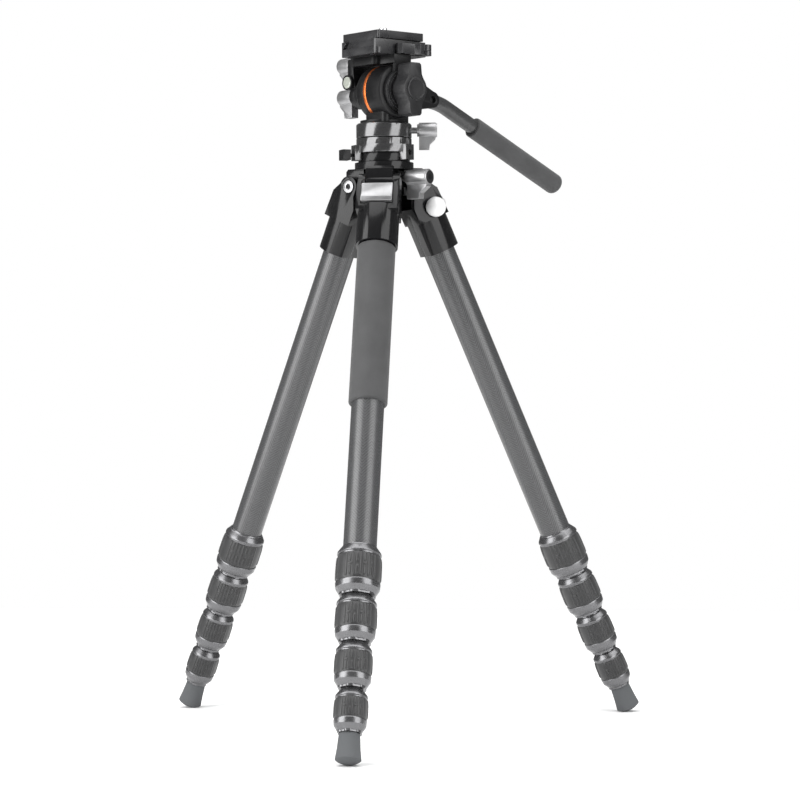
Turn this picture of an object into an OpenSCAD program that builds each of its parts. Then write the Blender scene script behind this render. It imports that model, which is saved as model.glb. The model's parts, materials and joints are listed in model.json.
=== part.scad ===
// Compact five-section tripod with a fluid video head.
// +Z is up and the feet stand on Z = 0. The tripod's axis is at X = 0, Y = axis_y.

/* [Legs] */
// Angle of each leg from the vertical, at rest
splay = 24; // [20:1:30]
// Distance from the tripod's axis to each leg hinge
pivot_r = 25; // [24:0.5:30]
// Length from the hinge to the tip of the foot
leg_len = 488.5; // [470:0.5:520]
// Outer diameter of the top tube
tube_d = 26; // [25:0.5:28]
// How much thinner each next tube is
tube_step = 3.4; // [3.2:0.1:3.6]
// Wall of the carbon tubes
tube_wall = 1.2; // [1:0.1:1.4]
// Distance from the hinge to the first twist lock
lock_start = 317; // [300:1:320]
// Space between neighbouring twist locks
lock_gap = 1.5; // [1:0.1:2]
// Length of the grip sleeve on the front leg
grip_len = 138; // [100:1:160]

/* [Base] */
// Height of the spider's top plate
spider_top = 466.5; // [466:0.5:467]
// Radius of the spider's top plate
spider_r = 24.3; // [23:0.1:26]
// Radius of the quick-release base ring
ring_r = 24.2; // [23:0.1:25]
// Radius of the pan base
pan_r = 22.9; // [22:0.1:23.5]
// Radius of the centre column
column_r = 11; // [10:0.5:11]

/* [Head] */
// Turn of the head about the tripod's axis
head_yaw = -41.5; // [-60:0.5:0]
// Height of the tilt axis
tilt_z = 524.5; // [524:0.5:526]
// Radius of the fluid drum
drum_r = 22; // [20:0.5:22]
// Length of the camera plate
plate_l = 49; // [46:1:54]
// Width of the camera plate
plate_w = 46; // [44:1:48]
// Downward bend of the pan bar
bar_bend = 25; // [20:1:30]
// Diameter of the pan bar
bar_d = 12.5; // [12:0.5:13]

/* [Hidden] */
$fn = 64;
fit = 0.05;
axis_y = 49;
dome_r = 16;
pivot_h = (leg_len - dome_r) * cos(splay) + dome_r;
azimuths = [-90, 30, 150];
lock_lens = [38.5, 36, 34.5, 33];
lock_rs = [18, 16.3, 14.8, 13.3];
tube_tops = [25.5, 60, 66, 72, 78];
foot_top = lock_start + 3 * lock_gap + lock_lens[0] + lock_lens[1] + lock_lens[2] + lock_lens[3] + 1;
shoulder_end = 58;
ear_in = 11.3;
ear_out = 17;
bolt_r = 3;
ball_r = 8.4;
ball_at = [4, -21, -21.3];
base_z = 474.5;
ring_top = 481;
pan_top = 499;
table_z = 547.2;
clamp_z = 554;
channel_z = 560;
plate_z = 566.6;
plate_top = 573;
cheek_x = -24;
cheek_t = 7;
arm_x = 21;
arm_t = 3.5;
bar_x = 14.3;
bar_y = 33;
bar_z = 519;
bend_r = 50;
grip_y = 86;
level_x = -30.5;
level_z = tilt_z + 10.5;
side_knob_x = -35.5;
plate_knob_z = 551;
column_knob_turn = -27;
column_knob_z = 453;
ring_lug_turn = -33;
latch_turn = 209;
latch_z = 472.5;
pan_knob_turn = 7;
pan_knob_z = 493.3;
lever_x = 28.6;
lever_y = 22;

// Outer diameter of tube k, from 1 at the top to 5 at the foot.
function tube_od(k) = tube_d - (k - 1) * tube_step;
// Distance from the hinge to the top of lock k.
function lock_top(k) = k == 1 ? lock_start : lock_top(k - 1) + lock_lens[k - 2] + lock_gap;
// Distance from the hinge to the lower end of tube k.
function tube_end(k) = k == 5 ? foot_top + 12 : lock_top(k) + 0.6 * lock_lens[k - 1];

// Leg frame: the hinge is the origin, the leg runs down -Z, +X faces outwards.
module leg_place(i) {
    translate([0, axis_y, 0])
        rotate([0, 0, azimuths[i]])
            translate([pivot_r, 0, pivot_h])
                rotate([0, -splay, 0])
                    children();
}

// Head frame: the tilt axis is along X through the tripod's axis, the pan bar runs along +Y.
module head_place() {
    translate([0, axis_y, 0])
        rotate([0, 0, head_yaw])
            children();
}

// A cylinder along X from x0 to x1, on the line (y, z).
module x_rod(x0, x1, r, y = 0, z = 0) {
    translate([x0, y, z])
        rotate([0, 90, 0])
            cylinder(r = r, h = x1 - x0);
}

// A block with its four upright edges rounded.
module rounded_block(l, w, h, r) {
    linear_extrude(h)
        rounded_rect(l, w, r);
}

module rounded_rect(l, w, r) {
    union() {
        square([l, w - 2 * r], center = true);
        square([l - 2 * r, w], center = true);
        for (x = [-1, 1], y = [-1, 1])
            translate([x * (l / 2 - r), y * (w / 2 - r)])
                circle(r);
    }
}

// Side outline of the shoulder's ears, from the hinge eye to the tube socket.
module ear_outline() {
    circle(8.5);
    polygon([[-8.5, 0], [-8.5, -6], [-13, -16], [-13, -30], [14.5, -30], [13.5, -8], [8.5, 0]]);
}

module shoulder(i) {
    color("#202124")
        leg_place(i)
            difference() {
                union() {
                    rotate([90, 0, 0])
                        translate([0, 0, -ear_out])
                            linear_extrude(2 * ear_out)
                                ear_outline();
                    intersection() {
                        translate([0, 0, -shoulder_end])
                            cylinder(r = 17.2, h = shoulder_end - 20);
                        translate([-13, -ear_out, -shoulder_end])
                            cube([29.5, 2 * ear_out, shoulder_end]);
                    }
                }
                translate([-30, -ear_in, -16])
                    cube([60, 2 * ear_in, 30]);
                translate([0, 0, -shoulder_end - 1])
                    cylinder(r = tube_d / 2 + 0.02, h = shoulder_end - 21);
                rotate([90, 0, 0])
                    translate([0, 0, -20])
                        cylinder(r = bolt_r + fit, h = 40);
                for (s = [-1, 1])
                    translate([0, s * 15.7, 0])
                        rotate([90, 0, 0])
                            cylinder(r = 5.7, h = 4.2, center = true);
                // Slideway of the angle tab.
                translate([9.6, -13.2, -25.2])
                    cube([10, 26.4, 30]);
                if (i == 1)
                    translate(ball_at)
                        sphere(ball_r + fit);
            }
}

// Sprung slide on the outer face, just under the hinge.
module angle_tab(i) {
    color("#b9bbbd")
        leg_place(i)
            translate([10, 0, 0])
                rotate([90, 0, 0])
                    translate([0, 0, -12.8])
                        linear_extrude(25.6)
                            polygon([[0, -24.6], [6.8, -23.6], [7.6, -20], [5, -14], [5.6, -7.4], [4.6, -6.6], [0, -6.6]]);
}

module leg_tube(i, k) {
    color("#3a3b3d")
        leg_place(i)
            translate([0, 0, -tube_end(k)])
                difference() {
                    cylinder(d = tube_od(k), h = tube_end(k) - tube_tops[k - 1]);
                    translate([0, 0, -1])
                        cylinder(d = tube_od(k) - 2 * tube_wall, h = tube_end(k) - tube_tops[k - 1] + 2);
                }
}

// Barrel with bevelled rings; its bore turns on tube k and clears tube k + 1.
module twist_lock(i, k) {
    r = lock_rs[k - 1];
    l = lock_lens[k - 1];
    outer = tube_od(k) / 2 + fit;
    inner = tube_od(k + 1) / 2 + 0.35;
    color("#2d2e30")
        leg_place(i)
            translate([0, 0, -lock_top(k)])
                rotate_extrude()
                    polygon([
                        [outer, 0], [r - 3.2, 0], [r - 1.1, -3.5], [r - 0.8, -6], [r, -7], [r, -l + 10],
                        [r - 0.8, -l + 8], [r - 1, -l + 5], [r - 4, -l], [inner, -l], [inner, -0.6 * l - 0.5],
                        [outer, -0.6 * l - 0.5]
                    ]);
}

module foot(i) {
    color("#3c3d3f")
        leg_place(i)
            difference() {
                intersection() {
                    translate([0, 0, -leg_len])
                        cylinder(r1 = 10.2, r2 = 8.2, h = leg_len - foot_top, $fn = 96);
                    translate([0, 0, -leg_len + dome_r])
                        union() {
                            sphere(dome_r);
                            cylinder(r = 12, h = 40);
                        }
                }
                translate([0, 0, -tube_end(5)])
                    cylinder(r = tube_od(5) / 2 + 0.02, h = 40);
            }
}

module grip_sleeve() {
    color("#55575a")
        leg_place(0)
            translate([0, 0, -shoulder_end - 0.5 - grip_len])
                difference() {
                    cylinder(r = 15.6, h = grip_len);
                    translate([0, 0, -1])
                        cylinder(r = tube_d / 2 + 0.02, h = grip_len + 2);
                }
}

module leg_pivot_bolts() {
    color("#c9cacc")
        for (i = [0:2])
            leg_place(i)
                rotate([90, 0, 0])
                    difference() {
                        union() {
                            translate([0, 0, -17])
                                cylinder(r = bolt_r, h = 34);
                            for (z = [-17, 14])
                                translate([0, 0, z])
                                    cylinder(r = 5.2, h = 3);
                        }
                        for (z = [-18, 15])
                            translate([0, 0, z])
                                cylinder(r = 2.4, h = 3, $fn = 6);
                    }
}

// Bright ball seated in the outer side of the right leg's ear.
module ball_cap() {
    color("#f2f2f2")
        leg_place(1)
            translate(ball_at)
                sphere(ball_r);
}

// Wing knob along +X: a threaded shank behind the origin, then a barrel with a blade hanging from it.
module wing_knob(barrel_l, barrel_r, drop, shank_l) {
    union() {
        x_rod(-shank_l, 1, 2.6);
        x_rod(0, 1.5, barrel_r - 1.2);
        x_rod(1.5, barrel_l - 1, barrel_r);
        x_rod(barrel_l - 1, barrel_l, barrel_r - 0.8);
        translate([0, 3.6, 0])
            rotate([90, 0, 0])
                linear_extrude(7.2)
                    polygon([
                        [1.5, 0], [barrel_l - 1, 0], [barrel_l - 1.5, -barrel_r - 1],
                        [0.64 * barrel_l, -0.72 * drop], [0.6 * barrel_l, -drop], [1.5, -drop]
                    ]);
    }
}

// Hinge lug and the arm that joins it to the hub.
module spider_lug() {
    rotate([90, 0, 0])
        translate([0, 0, -11])
            linear_extrude(22)
                union() {
                    circle(8);
                    polygon([[0, -8], [-12, -8], [-12, 14.6], [4.5, 14.6], [6.5, 12.5], [6.5, 4], [8, 0]]);
                }
}

module spider() {
    color("#26272a")
        difference() {
            union() {
                translate([0, axis_y, spider_top - 6])
                    cylinder(r = spider_r, h = 6);
                translate([0, axis_y, 436])
                    cylinder(r = 14, h = spider_top - 437);
                for (i = [0:2])
                    translate([0, axis_y, pivot_h])
                        rotate([0, 0, azimuths[i]])
                            translate([pivot_r, 0, 0])
                                spider_lug();
                translate([0, axis_y, column_knob_z])
                    rotate([0, 0, column_knob_turn])
                        translate([12, -7, -7])
                            cube([7.4, 14, 13]);
            }
            translate([0, axis_y, 400])
                cylinder(r = column_r + fit, h = 100);
            for (i = [0:2])
                leg_place(i)
                    rotate([90, 0, 0])
                        translate([0, 0, -12])
                            cylinder(r = bolt_r + 0.02, h = 24);
            translate([0, axis_y, column_knob_z])
                rotate([0, 0, column_knob_turn])
                    x_rod(11, 30, 2.65);
        }
}

module column() {
    color("#2b2c2e")
        translate([0, axis_y, 402])
            difference() {
                union() {
                    cylinder(r = column_r, h = 64.8);
                    translate([0, 0, 64.6])
                        cylinder(r = 21.4, h = 7.9);
                }
                translate([0, 0, -1])
                    cylinder(r = column_r - 2, h = 50);
            }
}

module column_lock_knob() {
    color("#9c9ea0")
        translate([0, axis_y, column_knob_z])
            rotate([0, 0, column_knob_turn])
                translate([23.5, 0, 0])
                    wing_knob(22, 6.7, 17.5, 11.4);
}

// Ring of the quick-release base, with a split lug for its screw and a guide for the latch.
module base_ring() {
    color("#2a2b2e")
        difference() {
            union() {
                translate([0, axis_y, base_z])
                    cylinder(r = ring_r, h = ring_top - base_z);
                translate([0, axis_y, ring_top - 0.2])
                    cylinder(r = pan_r, h = 5.5);
                translate([0, axis_y, 468])
                    rotate([0, 0, ring_lug_turn])
                        translate([21.5, -5, 0])
                            cube([6.6, 10, 12.6]);
                translate([0, axis_y, 468])
                    rotate([0, 0, latch_turn])
                        translate([21.5, -4.5, 0])
                            cube([5.8, 9, 12.6]);
            }
            translate([0, axis_y, 473])
                rotate([0, 0, ring_lug_turn])
                    x_rod(24.6, 30, 2.4, 0, 1);
            translate([0, axis_y, latch_z])
                rotate([0, 0, latch_turn])
                    x_rod(23, 30, 1.55);
        }
}

// Sprung release block beside the base ring.
module base_latch() {
    color("#3c3d40")
        translate([0, axis_y, latch_z])
            rotate([0, 0, latch_turn])
                union() {
                    x_rod(26.5, 32, 1.5);
                    translate([31, -5, -4.3])
                        cube([7, 10, 8.6]);
                }
}

module pan_base() {
    color("#2b2c2e")
        difference() {
            translate([0, axis_y, ring_top + 5.8])
                rotate_extrude()
                    polygon([
                        [0, 0], [pan_r - 0.6, 0], [pan_r, 0.6], [pan_r, pan_top - ring_top - 7],
                        [pan_r - 1.2, pan_top - ring_top - 5.8], [0, pan_top - ring_top - 5.8]
                    ]);
            translate([0, axis_y, pan_knob_z])
                rotate([0, 0, pan_knob_turn])
                    x_rod(12, 30, 2.65);
        }
}

module pan_lock_knob() {
    color("#9c9ea0")
        translate([0, axis_y, pan_knob_z])
            rotate([0, 0, pan_knob_turn])
                translate([27.5, 0, 0])
                    wing_knob(16.5, 6.4, 16, 14);
}

// Fluid housing: the neck and the drum with its tapered left end.
module head_body() {
    color("#1f2022")
        head_place()
            difference() {
                union() {
                    translate([4.4, 0, pan_top + 0.35])
                        rounded_block(26, 28, 20, 4);
                    translate([0, 0, pan_top + 0.35])
                        cylinder(r = 19.5, h = 2);
                    translate([0, 0, tilt_z])
                        rotate([0, 90, 0])
                            translate([0, 0, -23.6])
                                rotate_extrude()
                                    polygon([
                                        [0, 0], [12, 0], [13, 1], [13, 6.5], [16, 7], [drum_r - 0.5, 14.4],
                                        [drum_r, 16], [drum_r, 23.2], [drum_r - 0.8, 23.2],
                                        [drum_r - 0.8, 26.4], [drum_r, 26.4], [drum_r, 42],
                                        [drum_r - 1, 43.4], [18, 44.1], [0, 44.1]
                                    ]);
                }
                x_rod(-40, 40, 4 + fit, 0, tilt_z);
                // Groove of the accent ring, through the neck.
                translate([-0.4, 0, tilt_z])
                    rotate([0, 90, 0])
                        difference() {
                            cylinder(r = drum_r + 0.25, h = 3.2);
                            translate([0, 0, -1])
                                cylinder(r = drum_r - 0.85, h = 6);
                        }
            }
}

module accent_ring() {
    color("#e0703a")
        head_place()
            translate([-0.35, 0, tilt_z])
                rotate([0, 90, 0])
                    difference() {
                        cylinder(r = drum_r + 0.15, h = 3.1);
                        translate([0, 0, -1])
                            cylinder(r = drum_r - 0.8, h = 5);
                    }
}

module tilt_axle() {
    color("#8f9193")
        head_place()
            x_rod(cheek_x - 3, arm_x + arm_t, 4, 0, tilt_z);
}

// Table under the plate clamp with its left cheek, its right arm and the pan bar's seat.
module tilt_bracket() {
    color("#232427")
        head_place()
            difference() {
                union() {
                    translate([cheek_x - cheek_t, -9, table_z])
                        cube([arm_x + arm_t - cheek_x + cheek_t, 18, clamp_z - table_z]);
                    translate([-9, 0, table_z])
                        rounded_block(30, 30, clamp_z - table_z, 4);
                    translate([cheek_x - cheek_t, 0, 0])
                        rotate([90, 0, 90])
                            linear_extrude(cheek_t)
                                union() {
                                    translate([0, tilt_z])
                                        circle(11);
                                    polygon([
                                        [-9, tilt_z], [-12.5, table_z - 5], [-12.5, clamp_z], [12, clamp_z],
                                        [12, table_z - 4], [9, tilt_z]
                                    ]);
                                }
                    translate([arm_x, 0, 0])
                        rotate([90, 0, 90])
                            linear_extrude(arm_t)
                                union() {
                                    translate([0, tilt_z])
                                        circle(17.5);
                                    polygon([[-9, tilt_z + 14], [-6, clamp_z], [6, clamp_z], [9, tilt_z + 14]]);
                                    polygon([[10, tilt_z + 13], [bar_y + 1, bar_z + 6.6], [bar_y + 1, bar_z - 6.6], [8, tilt_z - 15]]);
                                    translate([bar_y, bar_z])
                                        circle(6.7);
                                }
                    translate([level_x, -8, level_z])
                        rotate([90, 0, 0])
                            cylinder(r = 6.2, h = 6);
                }
                x_rod(cheek_x - 3, arm_x + arm_t + 1, 4 + 0.02, 0, tilt_z);
                x_rod(cheek_x - cheek_t - 1, cheek_x - 3.2, 2.65, 0, tilt_z);
                x_rod(cheek_x - cheek_t - 1, cheek_x + 8, 2.65, 0, plate_knob_z);
                x_rod(arm_x - 1, arm_x + arm_t + 1, 3 + fit, bar_y, bar_z);
                translate([level_x, -11.5, level_z])
                    rotate([90, 0, 0])
                        cylinder(r = 4.9, h = 3);
            }
}

module tilt_lock_knob() {
    color("#9c9ea0")
        head_place()
            translate([side_knob_x, 0, tilt_z])
                mirror([1, 0, 0])
                    wing_knob(18.5, 6.6, 17.5, 8);
}

module plate_lock_knob() {
    color("#9c9ea0")
        head_place()
            translate([side_knob_x, 0, plate_knob_z])
                mirror([1, 0, 0])
                    wing_knob(18.5, 6.6, 17.5, 14);
}

// Star knob on the right end of the tilt axis.
module drag_knob() {
    color("#222326")
        head_place()
            translate([25.2, 0, tilt_z])
                rotate([90, 0, 90])
                    difference() {
                        union() {
                            linear_extrude(15.5)
                                union() {
                                    circle(12);
                                    for (s = [-1, 1])
                                        polygon([
                                            [-11, 4 * s], [-6.8, 12 * s], [-6, 20 * s], [-4.5, 21.5 * s],
                                            [4.5, 21.5 * s], [6, 20 * s], [6.8, 12 * s], [11, 4 * s]
                                        ]);
                                }
                            cylinder(r = 9.5, h = 17.5);
                        }
                        translate([0, 0, 16.9])
                            cylinder(r = 7.6, h = 2);
                    }
}

// Handle bar: a pivot boss, a short level run, a bend down and a straight run into the grip.
module pan_bar() {
    level_l = 1.6;
    straight_l = 138;
    color("#4a4b4e")
        head_place()
            union() {
                x_rod(bar_x - 5.2, arm_x - 0.35, 6.7, bar_y, bar_z);
                x_rod(arm_x - 1, arm_x + arm_t, 3, bar_y, bar_z);
                translate([bar_x, bar_y, bar_z])
                    rotate([-90, 0, 0])
                        cylinder(d = bar_d, h = level_l);
                translate([bar_x, bar_y + level_l, bar_z - bend_r])
                    bar_arc();
                bar_end()
                    cylinder(d = bar_d, h = straight_l);
            }
}

// The bend, swept from the level run down by bar_bend.
module bar_arc() {
    rotate([0, -90, 0])
        rotate_extrude(angle = bar_bend)
            translate([bend_r, 0])
                circle(d = bar_d);
}

// Frame at the end of the bend, with +Z along the straight run.
module bar_end() {
    translate([bar_x, bar_y + 1.6 + bend_r * sin(bar_bend), bar_z - bend_r * (1 - cos(bar_bend))])
        rotate([-90 - bar_bend, 0, 0])
            children();
}

module pan_bar_grip() {
    bend_end_y = bar_y + 1.6 + bend_r * sin(bar_bend);
    start = (grip_y - bend_end_y) / cos(bar_bend);
    color("#505256")
        head_place()
            bar_end()
                translate([0, 0, start])
                    difference() {
                        union() {
                            cylinder(r = 8.9, h = 104);
                            translate([0, 0, 104])
                                intersection() {
                                    sphere(8.9);
                                    cylinder(r = 9, h = 5.5);
                                }
                        }
                        translate([0, 0, -1])
                            cylinder(d = bar_d, h = 139 - start);
                    }
}

// Clamp body with its dovetail channel along Y and the lever's ear and pin.
module plate_clamp() {
    color("#2a2b2e")
        head_place()
            union() {
                difference() {
                    translate([0, 0.5, clamp_z])
                        rounded_block(47, 55, 12, 4);
                    translate([0, 30, channel_z])
                        rotate([90, 0, 0])
                            linear_extrude(60)
                                polygon([
                                    [-19.4, 0], [19.4, 0], [19.4, 0.8], [16, 4.2], [16, 7],
                                    [-16, 7], [-16, 4.2], [-19.4, 0.8]
                                ]);
                    for (x = [-24.6, 24.6])
                        translate([x, 0.5, clamp_z + 8.8])
                            cube([6, 60, 8], center = true);
                    translate([22, -12, clamp_z - 1])
                        cube([8, 30, 20]);
                }
                translate([21, 18.5, clamp_z])
                    cube([lever_x - 21, 6.5, 3.4]);
                translate([lever_x, lever_y, clamp_z])
                    cylinder(r = 4.4, h = 3.4);
                translate([lever_x, lever_y, clamp_z])
                    cylinder(r = 1.6, h = 7);
            }
}

// Cam lever on the clamp's right side, turning on the ear's pin.
module clamp_lever() {
    color("#3a3b3e")
        head_place()
            difference() {
                union() {
                    translate([22.4, -6.5, clamp_z + 0.6])
                        linear_extrude(8.4)
                            polygon([
                                [0, 2], [2, 0], [4.4, 0], [6.5, 3], [6.5, 16], [9, 20], [9, 24], [4, 24], [0, 20]
                            ]);
                    translate([lever_x - 2.5, 14, clamp_z + 3.8])
                        cube([5, 8, 5.2]);
                    translate([lever_x, lever_y, clamp_z + 3.8])
                        cylinder(r = 4.4, h = 5.2);
                }
                translate([lever_x, lever_y, clamp_z - 1])
                    cylinder(r = 1.65, h = 8.6);
            }
}

// Camera plate: a slab on a dovetail foot.
module camera_plate() {
    color("#303134")
        head_place()
            difference() {
                union() {
                    translate([0, 0, plate_z])
                        rounded_block(plate_w, plate_l, plate_top - plate_z, 1.5);
                    translate([0, plate_l / 2, channel_z + 0.35])
                        rotate([90, 0, 0])
                            linear_extrude(plate_l)
                                polygon([[-18.9, 0], [18.9, 0], [18.9, 0.5], [15.5, 3.9], [15.5, 6.5], [-15.5, 6.5], [-15.5, 3.9], [-18.9, 0.5]]);
                }
                translate([0, 0, channel_z])
                    cylinder(r = 3.175 + fit, h = 20);
                translate([0, 0, channel_z])
                    cylinder(r = 8.3, h = 5.2);
            }
}

module camera_screw() {
    color("#d8d9db")
        head_place()
            difference() {
                union() {
                    translate([0, 0, channel_z + 0.6])
                        cylinder(r = 8, h = 4);
                    translate([0, 0, channel_z + 1])
                        cylinder(r = 2.6, h = plate_top - channel_z);
                    translate([0, 0, plate_top + 0.2])
                        cylinder(r = 3.175, h = 4.8);
                }
                translate([-9, -0.75, channel_z])
                    cube([18, 1.5, 2.2]);
            }
}

module bubble_level() {
    color("#dfe6c8")
        head_place()
            translate([level_x, -11.5, level_z])
                rotate([90, 0, 0])
                    cylinder(r = 4.85, h = 2.7);
}

module front_shoulder() { shoulder(0); }
module front_angle_tab() { angle_tab(0); }
module front_tube_1() { leg_tube(0, 1); }
module front_tube_2() { leg_tube(0, 2); }
module front_tube_3() { leg_tube(0, 3); }
module front_tube_4() { leg_tube(0, 4); }
module front_tube_5() { leg_tube(0, 5); }
module front_lock_1() { twist_lock(0, 1); }
module front_lock_2() { twist_lock(0, 2); }
module front_lock_3() { twist_lock(0, 3); }
module front_lock_4() { twist_lock(0, 4); }
module front_foot() { foot(0); }
module right_shoulder() { shoulder(1); }
module right_angle_tab() { angle_tab(1); }
module right_tube_1() { leg_tube(1, 1); }
module right_tube_2() { leg_tube(1, 2); }
module right_tube_3() { leg_tube(1, 3); }
module right_tube_4() { leg_tube(1, 4); }
module right_tube_5() { leg_tube(1, 5); }
module right_lock_1() { twist_lock(1, 1); }
module right_lock_2() { twist_lock(1, 2); }
module right_lock_3() { twist_lock(1, 3); }
module right_lock_4() { twist_lock(1, 4); }
module right_foot() { foot(1); }
module left_shoulder() { shoulder(2); }
module left_angle_tab() { angle_tab(2); }
module left_tube_1() { leg_tube(2, 1); }
module left_tube_2() { leg_tube(2, 2); }
module left_tube_3() { leg_tube(2, 3); }
module left_tube_4() { leg_tube(2, 4); }
module left_tube_5() { leg_tube(2, 5); }
module left_lock_1() { twist_lock(2, 1); }
module left_lock_2() { twist_lock(2, 2); }
module left_lock_3() { twist_lock(2, 3); }
module left_lock_4() { twist_lock(2, 4); }
module left_foot() { foot(2); }

front_shoulder();
front_angle_tab();
front_tube_1();
front_tube_2();
front_tube_3();
front_tube_4();
front_tube_5();
front_lock_1();
front_lock_2();
front_lock_3();
front_lock_4();
front_foot();
right_shoulder();
right_angle_tab();
right_tube_1();
right_tube_2();
right_tube_3();
right_tube_4();
right_tube_5();
right_lock_1();
right_lock_2();
right_lock_3();
right_lock_4();
right_foot();
left_shoulder();
left_angle_tab();
left_tube_1();
left_tube_2();
left_tube_3();
left_tube_4();
left_tube_5();
left_lock_1();
left_lock_2();
left_lock_3();
left_lock_4();
left_foot();
grip_sleeve();
leg_pivot_bolts();
spider();
column();
column_lock_knob();
base_ring();
base_latch();
pan_base();
pan_lock_knob();
head_body();
accent_ring();
tilt_axle();
tilt_bracket();
tilt_lock_knob();
plate_lock_knob();
drag_knob();
pan_bar();
pan_bar_grip();
plate_clamp();
clamp_lever();
camera_plate();
camera_screw();
bubble_level();
ball_cap();
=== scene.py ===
"""Compact five-section tripod with a fluid head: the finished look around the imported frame."""

import json
import math

import bmesh
import bpy
import numpy as np
from bpy.props import FloatProperty, FloatVectorProperty, IntProperty, PointerProperty
from mathutils import Matrix, Vector


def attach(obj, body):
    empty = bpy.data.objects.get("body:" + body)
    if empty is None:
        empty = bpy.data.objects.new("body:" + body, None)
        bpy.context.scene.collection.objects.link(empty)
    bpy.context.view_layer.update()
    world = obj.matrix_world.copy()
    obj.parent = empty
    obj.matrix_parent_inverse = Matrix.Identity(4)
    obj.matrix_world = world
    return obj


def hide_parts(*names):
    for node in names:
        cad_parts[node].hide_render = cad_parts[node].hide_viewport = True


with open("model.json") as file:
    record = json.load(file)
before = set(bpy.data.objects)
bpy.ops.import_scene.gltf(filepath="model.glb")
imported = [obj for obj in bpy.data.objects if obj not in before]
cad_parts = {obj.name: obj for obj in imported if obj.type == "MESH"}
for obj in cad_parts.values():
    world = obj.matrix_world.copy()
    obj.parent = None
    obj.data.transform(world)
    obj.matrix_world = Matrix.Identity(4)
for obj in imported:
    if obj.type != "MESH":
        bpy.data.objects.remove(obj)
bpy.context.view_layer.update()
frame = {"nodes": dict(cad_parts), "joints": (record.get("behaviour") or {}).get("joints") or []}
NODES = frame["nodes"]
JOINTS = {joint["name"]: joint for joint in frame["joints"]}

bl_info = {
    "name": "Tripod with fluid head",
    "version": (1, 0, 0),
    "blender": (4, 5, 0),
    "location": "View3D > Sidebar > Tripod",
    "description": "Builds the finished pieces of a compact tripod and its fluid head",
    "category": "Object",
}

MM = 0.001
LEGS = ("front", "right", "left")
SECTIONS = (1, 2, 3, 4, 5)
LOCKS = (1, 2, 3, 4)


# --- Measures taken from the frame -------------------------------------------------------------


def vertices_of(node):
    """Every vertex of a CAD node, as an (n, 3) array in metres."""
    mesh = NODES[node].data
    flat = np.empty(len(mesh.vertices) * 3)
    mesh.vertices.foreach_get("co", flat)
    return flat.reshape(-1, 3)


def unit(vector):
    """The vector at length 1."""
    vector = np.asarray(vector, float)
    return vector / np.linalg.norm(vector)


class Line:
    """A local frame: an origin, and the directions across (x), side (y) and along (z)."""

    def __init__(self, origin, along, across):
        self.origin = np.asarray(origin, float)
        self.z = unit(along)
        self.x = unit(np.asarray(across, float) - self.z * np.dot(across, self.z))
        self.y = np.cross(self.z, self.x)

    def out(self, x, y, z):
        """Local coordinates to the row frame: origin + x X + y Y + z Z."""
        x, y, z = np.broadcast_arrays(x, y, z)
        return (
            self.origin
            + x[..., None] * self.x
            + y[..., None] * self.y
            + z[..., None] * self.z
        )

    def span(self, node):
        """Where a node starts and ends along the line, and its largest distance from it."""
        rel = vertices_of(node) - self.origin
        along = rel @ self.z
        far = np.linalg.norm(rel - along[:, None] * self.z, axis=1)
        return along.min(), along.max(), far.max()


def leg_line(leg):
    """The leg's line: from its hinge down to its foot, across facing outwards."""
    twist = JOINTS[f"{leg}_twist_1"]
    return Line(twist["pos_m"], twist["axis"], JOINTS[f"{leg}_tab_pull"]["axis"])


def head_line():
    """The tilt axis: along it to the drag knob, across towards the pan bar."""
    tilt = JOINTS["tilt"]
    return Line(tilt["pos_m"], tilt["axis"], JOINTS["plate_slide"]["axis"])


# --- Surfaces ----------------------------------------------------------------------------------


def mesh_from_grid(name, points, close_v, uv_size):
    """A mesh from an (m, n, 3) grid of points that closes in its second direction.

    Row i joins row i + 1, column j joins column j + 1 and the last column joins the first. With
    close_v the last row also joins the first. The UV map runs from 0 to uv_size in metres.
    """
    rows, columns = points.shape[:2]
    i = np.arange(rows if close_v else rows - 1)[:, None]
    j = np.arange(columns)[None, :]
    i2, j2 = (i + 1) % rows, (j + 1) % columns
    corners = [i * columns + j, i * columns + j2, i2 * columns + j2, i2 * columns + j]
    faces = np.stack(corners, axis=-1).reshape(-1, 4)
    mesh = bpy.data.meshes.new(name)
    mesh.from_pydata(points.reshape(-1, 3), [], faces)
    last = max(len(i), 1)
    u = np.stack(np.broadcast_arrays(j, j + 1, j + 1, j), axis=-1) / columns
    v = np.stack(np.broadcast_arrays(i, i, i + 1, i + 1), axis=-1) / last
    shape = (len(i), columns, 4)
    uv = np.stack(
        [np.broadcast_to(u, shape) * uv_size[0], np.broadcast_to(v, shape) * uv_size[1]],
        axis=-1,
    )
    mesh.uv_layers.new(name="UVMap").data.foreach_set("uv", uv.ravel())
    return mesh


def finish_mesh(mesh, sharp=40.0):
    """Merges coincident points, turns the faces outwards and smooths all but sharp edges."""
    work = bmesh.new()
    work.from_mesh(mesh)
    bmesh.ops.remove_doubles(work, verts=work.verts, dist=2e-6)
    bmesh.ops.recalc_face_normals(work, faces=work.faces)
    work.to_mesh(mesh)
    work.free()
    mesh.shade_smooth()
    mesh.set_sharp_from_angle(angle=math.radians(sharp))


def add_piece(name, mesh, body, material, nodes=()):
    """Links a mesh as a piece that rides on a body and stands for CAD nodes."""
    piece = bpy.data.objects.new(name, mesh)
    bpy.context.scene.collection.objects.link(piece)
    mesh.materials.clear()
    mesh.materials.append(material)
    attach(piece, body)
    if nodes:
        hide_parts(*nodes)
    return piece


def densify(profile, step):
    """A polyline with extra points, so that none of its stretches is longer than step."""
    out = [profile[0]]
    for a, b in zip(profile[:-1], profile[1:]):
        count = max(1, int(math.ceil(math.dist(a, b) / step)))
        for k in range(1, count + 1):
            out.append((a[0] + (b[0] - a[0]) * k / count, a[1] + (b[1] - a[1]) * k / count))
    return out


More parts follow.
